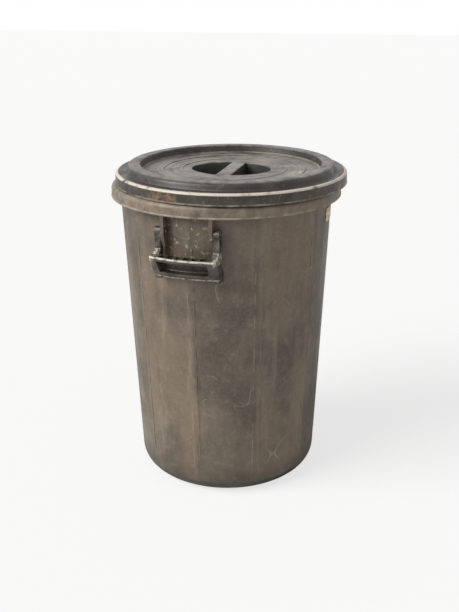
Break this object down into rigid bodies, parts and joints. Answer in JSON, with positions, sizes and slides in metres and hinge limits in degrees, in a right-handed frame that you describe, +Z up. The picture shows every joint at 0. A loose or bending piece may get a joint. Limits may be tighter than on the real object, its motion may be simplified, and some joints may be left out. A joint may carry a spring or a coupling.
{
  "type": "trash can",
  "caption": "Round tapered plastic trash can with a stepped rim, a loose lift-off lid with a raised ring and an oval finger well, and swinging carrying handles.",
  "frame": {"origin": "centre of the flat base, on the floor, on the bin's axis", "axes": "+Z up along the bin's axis; -Y towards the front handle, +Y towards the back handle; +X to the right seen from the front"},
  "size_m": [0.5435, 0.5908, 0.755],
  "materials": {
    "bin_plastic": "weathered matte, scuffed",
    "lid_plastic": "weathered satin, scuffed",
    "handle_plastic": "satin, worn on its edges",
    "sticker_paper": "faded blank label"
  },
  "bodies": {
    "bin": {"bin_body": "bin_plastic", "blank_sticker": "sticker_paper"},
    "lid": {"lid": "lid_plastic"},
    "front_handle": {"front_handle": "handle_plastic"},
    "back_handle": {"back_handle": "handle_plastic"}
  },
  "joints": [
    {"name": "lid_lift", "type": "slide", "parent": "bin", "child": "lid", "axis": [0, 0, 1], "range_m": [0, 0.25]},
    {"name": "front_handle_swing", "type": "hinge", "parent": "bin", "child": "front_handle", "pos_m": [0, -0.2475, 0.65], "axis": [-1, 0, 0], "range_deg": [0, 110]},
    {"name": "back_handle_swing", "type": "hinge", "parent": "bin", "child": "back_handle", "pos_m": [0, 0.2475, 0.65], "axis": [1, 0, 0], "range_deg": [0, 110]}
  ]
}
